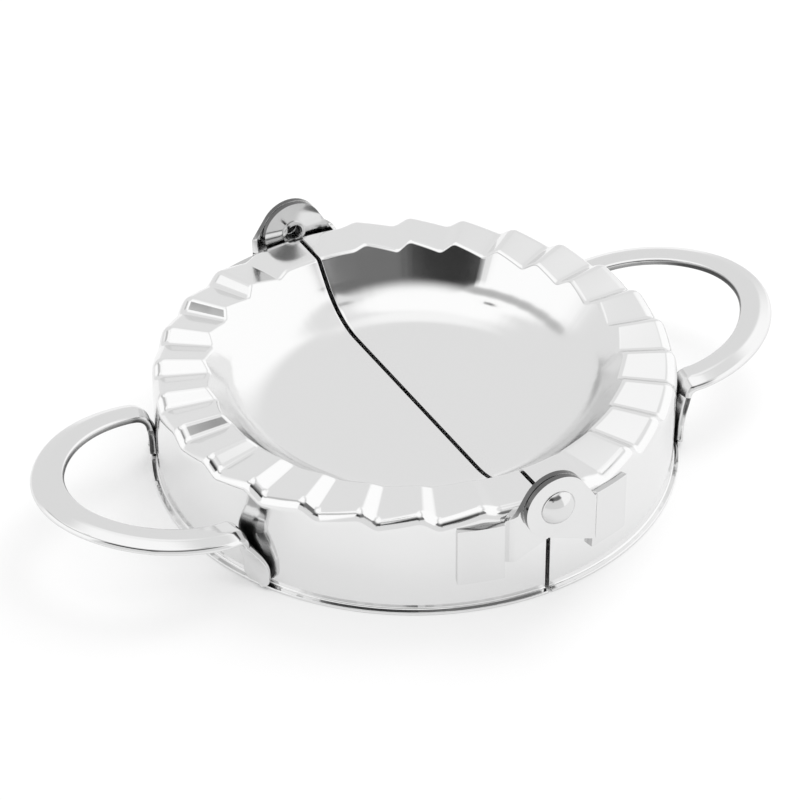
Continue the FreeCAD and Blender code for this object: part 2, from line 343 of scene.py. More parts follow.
# Steps in which the shell's rounded stretches are drawn, and the widest step round the rim
FLOOR_STEPS = 16
RIM_EDGE_STEPS = 8
SHOULDER_STEPS = 8
LIP_STEPS = 5
TOOTH_STEPS = 6
RIM_STEP = math.radians(2.2)


def tooth_corners(shell):
    """Angle and level (-1 valley, 0 middle, 1 crest) of each corner on the right half's rim."""
    pitch = HALF_TURN/(shell.teeth + 1)
    corners = [(-QUARTER_TURN, 0)]
    for k in range(1, shell.teeth + 1):
        centre = k*pitch - QUARTER_TURN
        before = 1 if k > 1 else 0
        after = -1 if k < shell.teeth else 0
        corners += [(centre - shell.flank/2, before), (centre + shell.flank/2, after)]
    return corners + [(QUARTER_TURN, 0)]


def rim_stations(shell):
    """Angle and level of each line across the rim; at the teeth's corners the level bends gently."""
    corners = tooth_corners(shell)
    slopes = [(b[1] - a[1])/(b[0] - a[0]) for a, b in zip(corners, corners[1:])]
    half = shell.tooth_rounding/2
    stations = [corners[0]]
    for number in range(1, len(corners)):
        turn, level = corners[number]
        last = number == len(corners) - 1
        run = turn - (0 if last else half) - stations[-1][0]
        count = math.ceil(run/RIM_STEP)
        start_turn, start_level = stations[-1]
        for i in range(1, count + 1):
            stations.append((start_turn + run*i/count, start_level + slopes[number - 1]*run*i/count))
        if last:
            break
        bend = slopes[number] - slopes[number - 1]
        for i in range(1, TOOTH_STEPS + 1):
            away = (2*i/TOOTH_STEPS - 1)*half
            stations.append((turn + away, level + slopes[number - 1]*away + bend*(away + half)**2/(4*half)))
    return stations


def shell_profile(shell):
    """Draws the top side of the sheet from the axis out to the lip, in the plane at right angles to Y."""
    slope = shell.wall_slope
    skirt = SHELL_HIGH.x - shell.lip_reach
    wall_top = skirt - shell.rim_width
    floor_tangent = shell.floor_blend*math.tan(slope/2)
    edge_tangent = shell.rim_edge*math.tan(slope/2)
    wall_foot = wall_top - (shell.rim_height - shell.floor_height)/math.tan(slope)
    blend_start = wall_foot - floor_tangent
    wall = math.hypot(wall_top - wall_foot, shell.rim_height - shell.floor_height)
    wall -= floor_tangent + edge_tangent
    rim = skirt - shell.shoulder - wall_top - edge_tangent
    skirt_height = shell.rim_height - shell.shoulder - shell.sheet - shell.lip_bend
    lip = SHELL_HIGH.x - skirt - shell.lip_bend

    start = (0, 0, shell.floor_height)
    start_point("shell", start)
    trace(start, 0, [
        (blend_start,), (shell.floor_blend, slope, FLOOR_STEPS), (wall,),
        (shell.rim_edge, -slope, RIM_EDGE_STEPS), (rim,),
        (shell.shoulder, -QUARTER_TURN, SHOULDER_STEPS), (skirt_height,),
        (shell.lip_bend, QUARTER_TURN, LIP_STEPS), (lip,)])


def raise_teeth(shell, stations):
    """Lifts and lowers the rim, from the wall's top to the shoulder's foot, to each station's level."""
    middle = SHELL_HIGH.x - shell.lip_reach - shell.rim_width/2
    inner = middle - shell.rim_width/2
    outer = middle + shell.rim_width/2
    lowest = shell.rim_height - shell.shoulder - shell.sheet
    edge_foot = inner - shell.rim_edge
    bands = {}
    turns = [turn for turn, level in stations]
    for point in open_mesh().verts:
        radius = math.hypot(point.co.x, point.co.y)
        if radius < edge_foot or point.co.z < lowest:
            continue
        turn = math.atan2(point.co.y, point.co.x)
        station = min(range(len(turns)), key=lambda i: abs(turns[i] - turn))
        bands.setdefault((station, radius > middle), set()).add(point.index)
    for (station, is_outer), points in bands.items():
        turn, level = stations[station]
        rise = level*shell.tooth_depth/2*(outer if is_outer else inner)/middle
        slide = 0 if is_outer else rise/math.tan(shell.wall_slope)
        choose(lambda point: point.index in points)
        move((slide*math.cos(turn), slide*math.sin(turn), rise))


class PRESS_OT_shells(Operator):
    """Model the two toothed half shells"""
    bl_idname = "press.shells"
    bl_label = "Half Shells"

    def execute(self, context):
        shell, finish = sizes(context, "shell", "finish")
        stations = rim_stations(shell)
        turns = [turn for turn, level in stations]
        shell_profile(shell)
        select_all()
        rotate(turns[0], "Z", (0, 0, 0))
        for turn, next_turn in zip(turns, turns[1:]):
            sweep(next_turn - turn, (0, 0, 0), Z_AXIS, 1)
        close_surface()
        raise_teeth(shell, stations)
        select_all()
        bpy.ops.mesh.bisect(plane_co=(SHELL_LOW.x, 0, 0), plane_no=X_AXIS, clear_inner=True)
        face_towards(Z_AXIS, lambda face: face.calc_center_median().z < shell.floor_height + shell.sheet
                     and face.calc_center_median().xy.length < SHELL_HIGH.x/2)
        bpy.ops.object.mode_set(mode="OBJECT")
        apply_modifier("SOLIDIFY", thickness=shell.sheet, offset=-1, use_even_offset=True)
        smooth(shell.cut_edge)
        right = bpy.context.object
        right.name = "right_dish_shell"
        fit(right, "right_shell", "left_dish_shell", "left_shell", shell_steel(finish))
        return {"FINISHED"}


# Steps in which the rounded stretches of the strip's section, the loop and a leg are drawn
INNER_EDGE_STEPS = 5
CROWN_STEPS = 6
OUTER_EDGE_STEPS = 7
LOWER_EDGE_STEPS = 3
TIP_STEPS = 14
SIDE_STEPS = 26
END_STEPS = 5
TURN_DOWN_STEPS = 12
LEG_STEPS = 9
FOOT_STEPS = 6
# Room kept at the tip, as a multiple of how far the tilted strip's underside leans out past its top
LEAN_ROOM = 2


def strip_section(handle, middle):
    """Draws the strip's section at the tip: flat, with a sloping outer part and rounded edges."""
    inner = middle - handle.width/2
    tilt = handle.crown_tilt
    slope = handle.crown_radius*math.sin(tilt) + handle.crown_slope*math.cos(tilt)
    slope += handle.outer_edge*(1 - math.sin(tilt))
    drop = handle.crown_radius*(1 - math.cos(tilt)) + handle.crown_slope*math.sin(tilt)
    drop += handle.outer_edge*math.cos(tilt)
    flat = handle.width - handle.inner_edge - slope
    start = (inner, 0, -handle.inner_edge)
    start_point("strip", start)
    place = trace(start, QUARTER_TURN, [
        (handle.inner_edge, -QUARTER_TURN, INNER_EDGE_STEPS), (flat,),
        (handle.crown_radius, -tilt, CROWN_STEPS), (handle.crown_slope,),
        (handle.outer_edge, tilt - QUARTER_TURN, OUTER_EDGE_STEPS),
        (handle.thickness + handle.outer_drop - drop - handle.lower_edge,),
        (handle.lower_edge, -QUARTER_TURN, LOWER_EDGE_STEPS)])
    fold = Vector((inner + handle.inner_edge + flat, 0, -handle.thickness))
    foot = Vector((inner + handle.lower_edge, 0, -handle.thickness))
    draw(fold - place)
    draw(foot - fold)
    trace(foot, HALF_TURN, [(handle.lower_edge, -QUARTER_TURN, LOWER_EDGE_STEPS),
                            (handle.thickness - handle.lower_edge - handle.inner_edge,)])
    select_all()
    bpy.ops.mesh.remove_doubles(threshold=MERGE)


def draw_leg(handle, start, skirt):
    """Draws the selected section down to the foot; it soon twists until it lies flat on the skirt."""
    turn = handle.foot_angle - handle.leg_turn
    seat = skirt - handle.weld_seat
    end = Vector((seat*math.cos(handle.foot_angle), seat*math.sin(handle.foot_angle), handle.foot_height))
    corner = end.z + handle.foot_rounding
    heights = [start.z + (corner - start.z)*i/LEG_STEPS for i in range(1, LEG_STEPS + 1)]
    heights += [corner - handle.foot_rounding*math.sin(QUARTER_TURN*i/FOOT_STEPS)
                for i in range(1, FOOT_STEPS + 1)]
    place, done, half_width = start.copy(), 0, handle.width/2
    for height in heights:
        fallen = min(1, (start.z - height)/(start.z - end.z)/handle.twist_share)
        twisted = math.sin(QUARTER_TURN*fallen)
        next_place = start.lerp(end, twisted)
        next_place.z = height
        draw(next_place - place)
        rotate(turn*(twisted - done), "Z", next_place)
        bpy.ops.transform.resize(value=(1, 1, 0), center_override=next_place)
        if height < corner:
            drop = (corner - height)/handle.foot_rounding
            narrowed = handle.width/2 - handle.foot_rounding*(1 - math.sqrt(max(0, 1 - drop**2)))
            facing = handle.leg_turn + turn*twisted
            rotate(-facing, "Z", next_place)
            bpy.ops.transform.resize(value=(1, narrowed/half_width, 1), center_override=next_place)
            rotate(facing, "Z", next_place)
            half_width = narrowed
        place, done = next_place, twisted
    bpy.ops.mesh.edge_face_add()


class PRESS_OT_handles(Operator):
    """Model the two strip loop handles"""
    bl_idname = "press.handles"
    bl_label = "Loop Handles"

    def execute(self, context):
        shell, handle, finish = sizes(context, "shell", "handle", "finish")
        side_centre_y = handle.side_reach - handle.side_radius
        difference = handle.side_radius - handle.tip_radius
        tip_sweep = QUARTER_TURN - math.acos(-side_centre_y/difference)
        skirt = SHELL_HIGH.x - shell.lip_reach
        rise = (HANDLE_HIGH.z - handle.root_height)/(HANDLE_HIGH.x - skirt)
        tip_middle = HANDLE_HIGH.x - LEAN_ROOM*rise*handle.thickness - handle.width/2
        tip_centre = Vector((tip_middle - handle.tip_radius, 0, 0))
        side_centre = Vector((tip_centre.x - difference*math.cos(tip_sweep), side_centre_y, 0))
        out = Vector((math.cos(handle.leg_turn), math.sin(handle.leg_turn), 0))
        across = Vector((-out.y, out.x, 0))

        # Half of the loop, flat, from the tip to where a leg starts
        strip_section(handle, tip_middle)
        sweep(tip_sweep, tip_centre, Z_AXIS, TIP_STEPS)
        side_turn = handle.leg_turn - handle.end_turn
        sweep(QUARTER_TURN + side_turn - tip_sweep, side_centre, Z_AXIS, SIDE_STEPS)
        aside = Vector((-math.sin(side_turn), math.cos(side_turn), 0))
        end_centre = side_centre + aside*(handle.side_radius - handle.end_radius)
        sweep(handle.end_turn, end_centre, Z_AXIS, END_STEPS)

        # The loop rises from the skirt to the tip, with its plan kept
        tilt = math.atan(rise)
        select_all()
        rotate(-tilt, "Y", (skirt, 0, 0))
        bpy.ops.transform.resize(value=(1/math.cos(tilt), 1, 1), center_override=(skirt, 0, 0))
        move((0, 0, handle.root_height))

        # Bend down to the leg
        end = end_centre + across*handle.end_radius
        slope = math.atan(rise*out.x)
        top = handle.root_height + rise*(end.x - skirt)
        centre = end + out*handle.leg_bend*math.sin(slope)
        centre.z = top - handle.leg_bend*math.cos(slope)
        reach = handle.side_radius*math.sin(QUARTER_TURN/2)
        choose(lambda point: (point.co.xy - end.xy).dot(out.xy) < handle.edge and point.co.y > reach)
        axis = Vector((across.x, across.y, rise*across.x)).normalized()
        sweep(-(QUARTER_TURN - slope), centre, axis, TURN_DOWN_STEPS)
        draw_leg(handle, centre - out*handle.leg_bend, skirt)
        close_surface()
        bpy.ops.object.mode_set(mode="OBJECT")
        apply_modifier("MIRROR", use_axis=(False, True, False), use_clip=True, merge_threshold=MERGE_DRAWN)
        bpy.ops.object.mode_set(mode="EDIT")
        close_surface()
        smooth(handle.edge)
        right = bpy.context.object
        right.name = "right_loop_handle"
        fit(right, "right_handle", "left_loop_handle", "left_handle", strip_steel(finish))
        return {"FINISHED"}


# Steps in which the ear, its hole, the joggle and the strap are drawn
EAR_STEPS = 32
HOLE_STEPS = 40
JOGGLE_STEPS = 6
STRAP_STEPS = 6


def ear_tangent(hinge, x, z, side):
    """Point and angle where the line from (x, z) touches the ear; side is 1 above and -1 below."""
    toward = math.atan2(z - PIVOT.z, x)
    spread = math.acos(hinge.ear_radius/math.hypot(x, z - PIVOT.z))
    turn = toward + side*spread
    return Vector((hinge.ear_radius*math.cos(turn), 0, PIVOT.z + hinge.ear_radius*math.sin(turn))), turn


def draw_outline(hinge, weld_x, far_x):
    """Outline of a hinge plate in the plane at right angles to Y, with its rivet hole."""
    above, above_turn = ear_tangent(hinge, weld_x, hinge.strap_top, 1)
    below, below_turn = ear_tangent(hinge, weld_x, hinge.neck_bottom, -1)
    start = Vector((weld_x, 0, hinge.strap_top))
    start_point("plate", start)
    draw(above - start)
    sweep(2*HALF_TURN + below_turn - above_turn, PIVOT, -Y_AXIS, EAR_STEPS)
    draw(Vector((weld_x, 0, hinge.neck_bottom)) - below)
    draw((0, 0, hinge.strap_bottom - hinge.neck_bottom))
    draw((far_x - weld_x, 0, 0))
    draw((0, 0, hinge.strap_top - hinge.strap_bottom))
    draw((weld_x - far_x, 0, 0))
    bpy.ops.mesh.primitive_circle_add(vertices=HOLE_STEPS, radius=hinge.shank_radius + hinge.play,
                                      location=PIVOT, rotation=(QUARTER_TURN, 0, 0))
    select_all()
    bpy.ops.mesh.remove_doubles(threshold=MERGE_DRAWN)
    bpy.ops.mesh.fill(use_beauty=True)


def plate_distance(hinge, layer, weld_x, skirt, x):
    """Distance of the plate's inner side from the middle of the press; the joggle's bends are rounded."""
    seat = skirt + hinge.weld_gap
    if x >= weld_x:
        return math.sqrt(seat**2 - x**2)
    foot = math.sqrt(seat**2 - weld_x**2)
    run = min(1, (weld_x - x)/hinge.joggle)
    return foot + (layer - foot)*(3*run**2 - 2*run**3)


def model_plate(name, hinge, shell, layer, side):
    """A hinge plate of the right half, at the back for side 1 and at the front for side -1."""
    skirt = SHELL_HIGH.x - shell.lip_reach
    seat = skirt + hinge.weld_gap
    weld_x = seat*math.sin(hinge.strap_start/seat)
    far_x = seat*math.sin((hinge.strap_start + hinge.strap_length)/seat)
    draw_outline(hinge, weld_x, far_x)
    lines = [weld_x - hinge.joggle*i/JOGGLE_STEPS for i in range(JOGGLE_STEPS + 1)]
    lines += [weld_x + (far_x - weld_x)*i/STRAP_STEPS for i in range(1, STRAP_STEPS)]
    for x in lines:
        select_all()
        bpy.ops.mesh.bisect(plane_co=(x, 0, 0), plane_no=X_AXIS)
    places = sorted({round(point.co.x, LINE_DIGITS) for point in open_mesh().verts})
    for x in places:
        choose(lambda point: abs(point.co.x - x) < SAME_LINE)
        move((0, side*plate_distance(hinge, layer, weld_x, skirt, x), 0))
    close_surface()
    face_towards(Y_AXIS*side, lambda face: face.calc_center_median().x < hinge.ear_radius/2)
    bpy.ops.object.mode_set(mode="OBJECT")
    apply_modifier("SOLIDIFY", thickness=hinge.plate, offset=1, use_even_offset=True)
    smooth(hinge.edge)
    bpy.context.object.name = name
    return bpy.context.object


class PRESS_OT_hinge_plates(Operator):
    """Model the four hinge plates"""
    bl_idname = "press.hinge_plates"
    bl_label = "Hinge Plates"

    def execute(self, context):
        shell, hinge, finish = sizes(context, "shell", "hinge", "finish")
        # How far the inner faces of the inner and the outer ears are from the middle of the press
        inner = RIVET_LOW.y + hinge.tail_length
        outer = RIVET_HIGH.y - hinge.head_height - hinge.ear_film - hinge.plate
        material = plate_steel(finish, hinge)
        back = model_plate("back_inner_plate", hinge, shell, inner, 1)
        front = model_plate("front_outer_plate", hinge, shell, outer, -1)
        fit(back, "back_inner_hinge_plate", "front_inner_plate", "front_inner_hinge_plate",
            material)
        fit(front, "front_outer_hinge_plate", "back_outer_plate", "back_outer_hinge_plate",
            material)
        return {"FINISHED"}


# Steps in which the rivet's dome is drawn, and steps of its whole turn
DOME_STEPS = 12
RIVET_STEPS = 64


class PRESS_OT_rivets(Operator):
    """Model the two hinge rivets"""
    bl_idname = "press.rivets"
    bl_label = "Hinge Rivets"

    def execute(self, context):
        hinge, finish = sizes(context, "hinge", "finish")
        top = RIVET_HIGH.y
        face = top - hinge.head_height
        height = hinge.head_height - hinge.head_edge
        dome = (hinge.head_radius**2 + height**2)/(2*height)
        centre = PIVOT + Y_AXIS*(top - dome)
        edge_turn = math.asin(hinge.head_radius/dome)
        start_point("rivet", PIVOT + Y_AXIS*top)
        sweep(-edge_turn, centre, -X_AXIS, DOME_STEPS)
        rim = centre + Vector((0, dome*math.cos(edge_turn), dome*math.sin(edge_turn)))
        # Along the rivet and out from its middle, by turns, from the dome to the bottom of the bore
        for along, out in ((face - rim.y, PIVOT.z + hinge.shank_radius - rim.z),
                           (RIVET_LOW.y + hinge.tail_length - face, hinge.tail_radius - hinge.shank_radius),
                           (-hinge.tail_length, hinge.tail_bore - hinge.tail_radius),
                           (hinge.bore_depth, -hinge.tail_bore)):
            draw((0, along, 0))
            draw((0, 0, out))
        select_all()
        sweep(2*HALF_TURN, PIVOT, Y_AXIS, RIVET_STEPS)
        close_surface()
        smooth(hinge.edge)
        back = bpy.context.object
        back.name = "back_rivet_turned"
        fit(back, "back_rivet", "front_rivet_turned", "front_rivet",
            rivet_steel(finish, hinge))
        return {"FINISHED"}


def add_node(tree, kind, settings=None, **links):
    """Adds a node, sets its attributes and inputs, and links other nodes' outputs to its inputs.

    settings holds attributes by name; links holds a value, an output or a node, for its first output,
    for an input's name, with underscores for spaces, or for its number after an i.
    """
    node = tree.nodes.new(kind)
    for name, value in (settings or {}).items():
        setattr(node, name, value)
    for name, value in links.items():
        key = int(name[1:]) if name[0] == "i" and name[1:].isdigit() else name.replace("_", " ")
        if isinstance(value, bpy.types.Node):
            value = value.outputs[0]
        if isinstance(value, bpy.types.NodeSocket):
            tree.links.new(value, node.inputs[key])
        else:
            node.inputs[key].default_value = value
    return node


def empty_tree(owner):
    """The emptied node tree of a new material or world."""
    owner.use_nodes = True
    owner.node_tree.nodes.clear()
    return owner.node_tree


def new_material(name, tint):
    """A plain metal material, its node tree and its shader."""
    material = bpy.data.materials.new(name)
    tree = empty_tree(material)
    shader = add_node(tree, "ShaderNodeBsdfPrincipled", Base_Color=(*tint, 1), Metallic=1)
    add_node(tree, "ShaderNodeOutputMaterial", Surface=shader)
    return material, tree, shader


def two_toned(tree, shader, mask, first, second):
    """Gives the shader the first colour where the mask is 0 and the second where it is 1."""
    tint = add_node(tree, "ShaderNodeMix", {"data_type": "RGBA"}, i0=mask, i6=(*first, 1), i7=(*second, 1))
    tree.links.new(tint.outputs[2], shader.inputs["Base Color"])


# Range of the noise that the gloss follows, and the share of the roughness at its two ends
GLOSS_NOISE = (0.3, 0.7)
GLOSS_SHARES = (0.7, 1.4)


def polished(tree, shader, finish, roughness, wave_height, mark_height):
    """Soft waves of the formed metal, fine marks of the polish, and a gloss that varies a little.

    The real marks are too fine to show, so they are drawn coarser. Returns the roughness and the normal.
    """
    place = add_node(tree, "ShaderNodeTexCoord").outputs["Object"]
    cloud = add_node(tree, "ShaderNodeTexNoise", Vector=place, Scale=1/finish.gloss_patch, Detail=3)
    gloss = add_node(tree, "ShaderNodeMapRange", Value=cloud,
                     From_Min=GLOSS_NOISE[0], From_Max=GLOSS_NOISE[1],
                     To_Min=roughness*GLOSS_SHARES[0], To_Max=roughness*GLOSS_SHARES[1])
    tree.links.new(gloss.outputs[0], shader.inputs["Roughness"])
    waves = add_node(tree, "ShaderNodeTexNoise", Vector=place, Scale=1/finish.sheet_wave, Detail=1)
    waved = add_node(tree, "ShaderNodeBump", Strength=1, Distance=wave_height, Height=waves)
    marks = add_node(tree, "ShaderNodeTexNoise", Vector=place, Scale=1/finish.polish_grain, Detail=2)
    marked = add_node(tree, "ShaderNodeBump", Strength=1, Distance=mark_height, Height=marks, Normal=waved)
    tree.links.new(marked.outputs[0], shader.inputs["Normal"])
    return gloss, marked


def shell_steel(finish):
    """Stainless sheet, deep drawn and mirror polished: clear reflections that waver a little."""
    material, tree, shader = new_material("mirror_polished_stainless_sheet", finish.sheet_colour)
    polished(tree, shader, finish, finish.sheet_roughness, finish.formed_wave, finish.sheet_mark)
    return material


# A surface turns from the strip's bright outside to its rougher inner side with painted shade while the
# cosine of its angle from straight outwards falls from the first value to the second
INWARD = (-0.6, -0.85)


def strip_steel(finish):
    """Stainless strip, polished bright; its inner edge and the backs of its legs are rougher, with painted
    shade.
    """
    material, tree, shader = new_material("polished_stainless_strip", finish.strip_colour)
    gloss = polished(tree, shader, finish, finish.strip_roughness, finish.formed_wave, finish.strip_mark)[0]

    # The inner edge faces the middle of its loop, and the legs' backs face the middle of the press
    coordinates = add_node(tree, "ShaderNodeTexCoord")
    place = coordinates.outputs["Object"]
    side = add_node(tree, "ShaderNodeSeparateXYZ", Vector=place)
    side = add_node(tree, "ShaderNodeMath", {"operation": "SIGN"}, i0=side.outputs["X"])
    loop = add_node(tree, "ShaderNodeMath", {"operation": "MULTIPLY"}, i0=side,
                    i1=(SHELL_HIGH.x + HANDLE_HIGH.x)/2)
    painted_shade_and_dull = 0
    for centre in (0, loop):
        middle = add_node(tree, "ShaderNodeCombineXYZ", X=centre)
        away = add_node(tree, "ShaderNodeVectorMath", {"operation": "SUBTRACT"}, i0=place, i1=middle)
        level = add_node(tree, "ShaderNodeVectorMath", {"operation": "MULTIPLY"}, i0=away, i1=(1, 1, 0))
        outwards = add_node(tree, "ShaderNodeVectorMath", {"operation": "NORMALIZE"}, i0=level)
        facing = add_node(tree, "ShaderNodeVectorMath", {"operation": "DOT_PRODUCT"},
                          i0=outwards, i1=coordinates.outputs["Normal"])
        inward = add_node(tree, "ShaderNodeMapRange", Value=facing.outputs["Value"],
                          From_Min=INWARD[0], From_Max=INWARD[1], To_Min=0, To_Max=1)
        painted_shade_and_dull = add_node(tree, "ShaderNodeMath", {"operation": "MAXIMUM"}, i0=painted_shade_and_dull, i1=inward)
    # Painted shade: the inward faces get a dark colour for the shade and dark reflections there, and more
    # roughness
    two_toned(tree, shader, painted_shade_and_dull, finish.strip_colour, finish.painted_shade_strip_colour)
    rough = add_node(tree, "ShaderNodeMix", {"data_type": "FLOAT"}, i0=painted_shade_and_dull, i2=gloss,
                     i3=finish.dull_roughness)
    tree.links.new(rough.outputs[0], shader.inputs["Roughness"])
    return material


def from_rivet_axis(tree, place):
    """Distance of a place from the line through the two rivets."""
    across = add_node(tree, "ShaderNodeVectorMath", {"operation": "MULTIPLY_ADD"},
                      i0=place, i1=(1, 0, 1), i2=(0, 0, -PIVOT.z))
    return add_node(tree, "ShaderNodeVectorMath", {"operation": "LENGTH"}, i0=across).outputs["Value"]


# A surface turns from a plate's cut edge to its flat side while the cosine of its angle from the hinge
# line rises from the first value to the second
FLAT_SIDE = (0.35, 0.6)
# Share of the ear's radius at which the painted shade on the straps' edges starts to lighten, and how much
# goes
STRAP_FROM_SHARE = 1.1
STRAP_UNSHADED_SHARE = 0.75


def plate_steel(finish, hinge):
    """Blanked stainless plate, polished with the shells: bright, with soft marks and a faint dome."""
    material, tree, shader = new_material("polished_stainless_plate", finish.strip_colour)
    marked = polished(tree, shader, finish, finish.strip_roughness, finish.blank_wave, finish.strip_mark)[1]
    place = add_node(tree, "ShaderNodeTexCoord").outputs["Object"]
    radius = from_rivet_axis(tree, place)
    dome = add_node(tree, "ShaderNodeMapRange", Value=radius, From_Min=0, From_Max=hinge.ear_radius,
                    To_Min=math.tan(hinge.ear_tilt)*hinge.ear_radius, To_Max=0)
    domed = add_node(tree, "ShaderNodeBump", Strength=1, Distance=1, Height=dome, Normal=marked)
    tree.links.new(domed.outputs[0], shader.inputs["Normal"])

    # The cut edges face along the skirt and up or down, and get painted shade. On the straps, farther from
    # the rivet, it lightens along the skirt until a quarter of it is left
    facing = add_node(tree, "ShaderNodeNewGeometry").outputs["True Normal"]
    parts = add_node(tree, "ShaderNodeSeparateXYZ", Vector=facing)
    along = add_node(tree, "ShaderNodeMath", {"operation": "ABSOLUTE"}, i0=parts.outputs["Y"])
    face = add_node(tree, "ShaderNodeMapRange", Value=along,
                    From_Min=FLAT_SIDE[0], From_Max=FLAT_SIDE[1], To_Min=0, To_Max=1)
    strap = add_node(tree, "ShaderNodeMapRange", Value=radius,
                     From_Min=hinge.ear_radius*STRAP_FROM_SHARE, From_Max=hinge.strap_start,
                     To_Min=0, To_Max=STRAP_UNSHADED_SHARE)
    bright = add_node(tree, "ShaderNodeMath", {"operation": "MAXIMUM"}, i0=face, i1=strap)
    two_toned(tree, shader, bright, finish.painted_shade_edge_colour, finish.strip_colour)
    return material


def rivet_steel(finish, hinge):
    """Cold formed stainless rivet: a bright dome, with painted shade in the bore of its tail."""
    material, tree, shader = new_material("formed_stainless_rivet", finish.rivet_colour)
    polished(tree, shader, finish, finish.rivet_roughness, finish.blank_wave, finish.rivet_mark)
    place = add_node(tree, "ShaderNodeTexCoord").outputs["Object"]
    within = add_node(tree, "ShaderNodeMath", {"operation": "LESS_THAN"}, i0=from_rivet_axis(tree, place),
                      i1=hinge.tail_bore - hinge.edge/2)
    parts = add_node(tree, "ShaderNodeSeparateXYZ", Vector=place)
    along = add_node(tree, "ShaderNodeMath", {"operation": "ABSOLUTE"}, i0=parts.outputs["Y"])
    behind = add_node(tree, "ShaderNodeMath", {"operation": "LESS_THAN"}, i0=along,
                      i1=RIVET_LOW.y + hinge.bore_depth + hinge.edge)
    bore = add_node(tree, "ShaderNodeMath", {"operation": "MULTIPLY"}, i0=within, i1=behind)
    # Painted shade: the inside of the bore is coloured dark where the hollow lies in shade
    two_toned(tree, shader, bore, finish.rivet_colour, finish.painted_shade_bore_colour)
    return material


# Camera, fitted to the outline of the press in the photograph
LENS = 135.55
CAMERA_TURN = math.radians(-28.39)
CAMERA_RISE = math.radians(36.05)
CAMERA_ROLL = math.radians(-0.46)
CAMERA_DISTANCE = 560.65*MM
CAMERA_TARGET = Vector((-1.99, 2.05, 10))*MM


def add_camera():
    """The camera, looking down at the press from the front left."""
    level = math.cos(CAMERA_RISE)
    back = Vector((math.sin(CAMERA_TURN)*level, -math.cos(CAMERA_TURN)*level, math.sin(CAMERA_RISE)))
    right = Vector((math.cos(CAMERA_TURN), math.sin(CAMERA_TURN), 0))
    up = back.cross(right)
    turn = Matrix((right, up, back)).transposed() @ Matrix.Rotation(CAMERA_ROLL, 3, "Z")
    bpy.ops.object.camera_add(location=CAMERA_TARGET + back*CAMERA_DISTANCE, rotation=turn.to_euler())
    camera = bpy.context.object
    camera.name = "photo_camera"
    camera.data.lens = LENS
    bpy.context.scene.camera = camera


def direction(azimuth, elevation):
    """Unit vector; azimuth 0 is +Y and 90 is +X, both angles in degrees."""
    turn, rise = math.radians(azimuth), math.radians(elevation)
    return Vector((math.sin(turn)*math.cos(rise), math.cos(turn)*math.cos(rise), math.sin(rise)))


def patch(tree, ray, azimuth, elevation, full, none):
    """1 within the angle full of a direction, falling smoothly to 0 at the angle none, in degrees."""
    near = add_node(tree, "ShaderNodeVectorMath", {"operation": "DOT_PRODUCT"},
                    i0=ray, i1=direction(azimuth, elevation))
    return add_node(tree, "ShaderNodeMapRange", {"interpolation_type": "SMOOTHSTEP"},
                    Value=near.outputs["Value"], From_Min=math.cos(math.radians(none)),
                    From_Max=math.cos(math.radians(full)), To_Min=0, To_Max=1)


def window(tree, ray, azimuth, half_width, bottom, top, softness):
    """1 inside a window of the room, falling smoothly to 0 at its sides; softness is low, high and wide.

    The window lies half_width to each side of its azimuth, and from the elevation bottom to top.
    """
    ahead = add_node(tree, "ShaderNodeVectorMath", {"operation": "DOT_PRODUCT"},
                     i0=ray, i1=direction(azimuth, 0))
    aside = add_node(tree, "ShaderNodeVectorMath", {"operation": "DOT_PRODUCT"},
                     i0=ray, i1=direction(azimuth + 90, 0))
    turn = add_node(tree, "ShaderNodeMath", {"operation": "ARCTAN2"},
                    i0=aside.outputs["Value"], i1=ahead.outputs["Value"])
    turn = add_node(tree, "ShaderNodeMath", {"operation": "ABSOLUTE"}, i0=turn)
    height = add_node(tree, "ShaderNodeSeparateXYZ", Vector=ray)
    rise = add_node(tree, "ShaderNodeMath", {"operation": "ARCSINE"}, i0=height.outputs["Z"])
    low, high, wide = softness
    inside = 1
    for value, none, full in ((turn, half_width + wide, half_width - wide),
                              (rise, bottom - low, bottom + low),
                              (rise, top + high, top - high)):
        edge = add_node(tree, "ShaderNodeMapRange", {"interpolation_type": "SMOOTHSTEP"},
                        Value=value, From_Min=math.radians(none), From_Max=math.radians(full),
                        To_Min=0, To_Max=1)
        inside = add_node(tree, "ShaderNodeMath", {"operation": "MULTIPLY"}, i0=inside, i1=edge)
    return inside


# Grey level of the tent of cloth round the press, and of its walls, after their azimuth, half width,
# bottom, top and softness of the bottom, top and sides, all in degrees
TENT_WHITE = 1.2
WALLS = ((6, 50, -90, 62, (1, 6, 10), 0.89),
         (90, 70, 56, 72, (4, 4, 25), 0.9),
         (-156, 52, -90, 68, (1, 7, 3), 0.86))
# Patches in front of the walls: azimuth, elevation, core and reach in degrees, and grey level. They are
# a lamp's glow, two dark things, and six along a seam of the cloth
PATCHES = ((28, 63, 14/3, 14, 1.12), (125.3, 66.7, 1, 3, 0.2), (-66.4, 64.6, 2.6/3, 2.6, 0.15),
           (-98, 58, 1, 8, 0.55), (-87, 54, 1, 8, 0.55), (-76, 50, 1, 8, 0.55),
           (-65, 46, 1, 8, 0.55), (-54, 42, 1, 8, 0.55), (-43, 38, 1, 8, 0.55))
# The dark opening on the camera's side, the patch in which it is deepest, and the camera before it
OPENING = (-161, 54, 39, 61, (1.5, 8, 3))
OPENING_GREY = 0.18
DEEPEST = (-130, 43, 8, 24)
DEEPEST_GREY = 0.04
CAMERA_SEEN = (-151.6, 36, 2, 5)
CAMERA_GREY = 0.1


